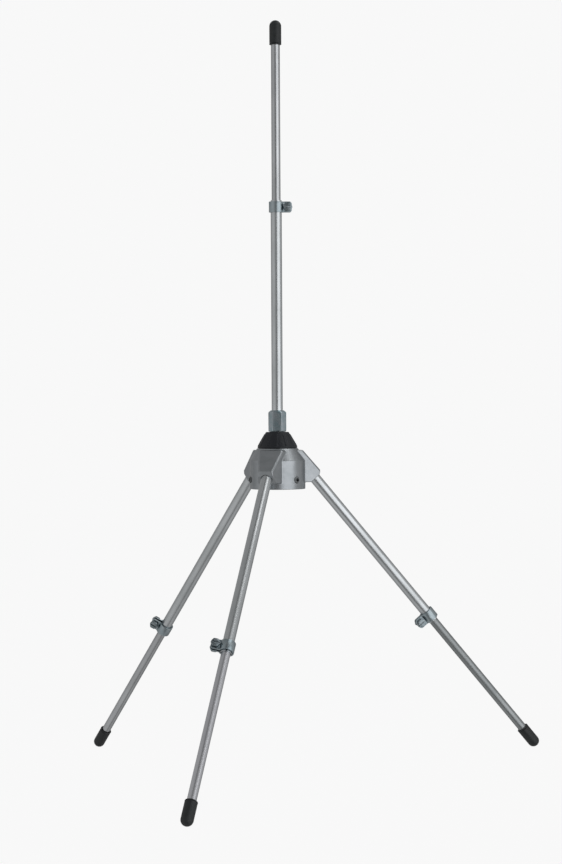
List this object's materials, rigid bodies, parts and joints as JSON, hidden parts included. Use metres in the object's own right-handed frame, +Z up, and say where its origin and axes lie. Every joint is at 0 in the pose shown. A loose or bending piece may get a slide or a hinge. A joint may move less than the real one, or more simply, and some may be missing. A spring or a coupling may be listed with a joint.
{
  "type": "ground-plane omnidirectional antenna",
  "caption": "Ground-plane antenna with a telescopic radiator on an insulator cone and drooping telescopic radials on a cast mast hub.",
  "frame": {"origin": "centre of the hub's lower rim, on the mast axis", "axes": "+Z up along the mast and the radiator; -Y towards the front radial; the other radials are 120 degrees either side"},
  "size_m": [0.4449, 0.395, 0.6831],
  "materials": {
    "cast_alloy": "die-cast, fine satin grain",
    "tube_aluminium": "drawn, bright satin",
    "zinc_steel": "blue-grey zinc plate",
    "black_steel": "black oxide",
    "nickel_brass": "nickel-plated",
    "black_plastic": "moulded, semi-matt",
    "black_rubber": "soft matt vinyl",
    "white_dielectric": "smooth white"
  },
  "bodies": {
    "antenna_base": {"hub_casting": "cast_alloy", "coax_socket_body": "nickel_brass", "coax_dielectric": "white_dielectric", "coax_centre_contact": "nickel_brass", "flange_screw_1": "zinc_steel", "flange_screw_2": "zinc_steel", "flange_screw_3": "zinc_steel", "flange_screw_4": "zinc_steel", "insulator_cone": "black_plastic", "hub_seal_ring": "black_rubber", "feed_stud": "nickel_brass", "stud_washer": "zinc_steel", "ferrule_seal_ring": "black_rubber", "radiator_ferrule": "zinc_steel", "radiator_outer_tube": "tube_aluminium", "radiator_clamp_band": "zinc_steel", "radiator_clamp_nut": "zinc_steel", "front_radial_root_plug": "zinc_steel", "front_radial_outer_tube": "tube_aluminium", "front_radial_clamp_band": "zinc_steel", "front_radial_clamp_nut": "zinc_steel", "left_radial_root_plug": "zinc_steel", "left_radial_outer_tube": "tube_aluminium", "left_radial_clamp_band": "zinc_steel", "left_radial_clamp_nut": "zinc_steel", "right_radial_root_plug": "zinc_steel", "right_radial_outer_tube": "tube_aluminium", "right_radial_clamp_band": "zinc_steel", "right_radial_clamp_nut": "zinc_steel"},
    "radiator_slider": {"radiator_inner_tube": "tube_aluminium", "radiator_tip_cap": "black_rubber"},
    "radiator_clamp_bolt": {"radiator_clamp_screw": "zinc_steel"},
    "front_radial_slider": {"front_radial_inner_tube": "tube_aluminium", "front_radial_tip_cap": "black_rubber"},
    "front_radial_clamp_bolt": {"front_radial_clamp_screw": "zinc_steel"},
    "left_radial_slider": {"left_radial_inner_tube": "tube_aluminium", "left_radial_tip_cap": "black_rubber"},
    "left_radial_clamp_bolt": {"left_radial_clamp_screw": "zinc_steel"},
    "right_radial_slider": {"right_radial_inner_tube": "tube_aluminium", "right_radial_tip_cap": "black_rubber"},
    "right_radial_clamp_bolt": {"right_radial_clamp_screw": "zinc_steel"},
    "mast_bolt_1": {"mast_screw_1": "black_steel"},
    "mast_bolt_2": {"mast_screw_2": "black_steel"},
    "mast_bolt_3": {"mast_screw_3": "black_steel"}
  },
  "joints": [
    {"name": "radiator_telescope", "type": "slide", "parent": "antenna_base", "child": "radiator_slider", "axis": [0, 0, 1], "range_m": [-0.138, 0.008]},
    {"name": "front_radial_telescope", "type": "slide", "parent": "antenna_base", "child": "front_radial_slider", "axis": [0, -0.6441, -0.7649], "range_m": [-0.14, 0.006]},
    {"name": "left_radial_telescope", "type": "slide", "parent": "antenna_base", "child": "left_radial_slider", "axis": [-0.5578, 0.3221, -0.7649], "range_m": [-0.1325, 0.0135]},
    {"name": "right_radial_telescope", "type": "slide", "parent": "antenna_base", "child": "right_radial_slider", "axis": [0.5578, 0.3221, -0.7649], "range_m": [-0.133, 0.013]},
    {"name": "radiator_clamp_turn", "type": "hinge", "parent": "antenna_base", "child": "radiator_clamp_bolt", "pos_m": [0.01014, 0.0031, 0.2535], "axis": [0.2924, -0.9563, 0], "range_deg": [0, 630]},
    {"name": "front_radial_clamp_turn", "type": "hinge", "parent": "antenna_base", "child": "front_radial_clamp_bolt", "pos_m": [-0.00996, -0.15221, -0.12463], "axis": [0.342, -0.7188, 0.6053], "range_deg": [0, 630]},
    {"name": "left_radial_clamp_turn", "type": "hinge", "parent": "antenna_base", "child": "left_radial_clamp_bolt", "pos_m": [-0.14573, 0.07627, -0.13206], "axis": [0.0428, -0.9093, -0.414], "range_deg": [0, 630]},
    {"name": "right_radial_clamp_turn", "type": "hinge", "parent": "antenna_base", "child": "right_radial_clamp_bolt", "pos_m": [0.1157, 0.0668, -0.12461], "axis": [0.5, -0.866, 0], "range_deg": [0, 630]},
    {"name": "mast_screw_1_travel", "type": "slide", "parent": "antenna_base", "child": "mast_bolt_1", "axis": [-0.866, 0.5, 0], "range_m": [0, 0.0035]},
    {"name": "mast_screw_2_travel", "type": "slide", "parent": "antenna_base", "child": "mast_bolt_2", "axis": [0.866, 0.5, 0], "range_m": [0, 0.0035]},
    {"name": "mast_screw_3_travel", "type": "slide", "parent": "antenna_base", "child": "mast_bolt_3", "axis": [0, -1, 0], "range_m": [0, 0.0035]}
  ]
}
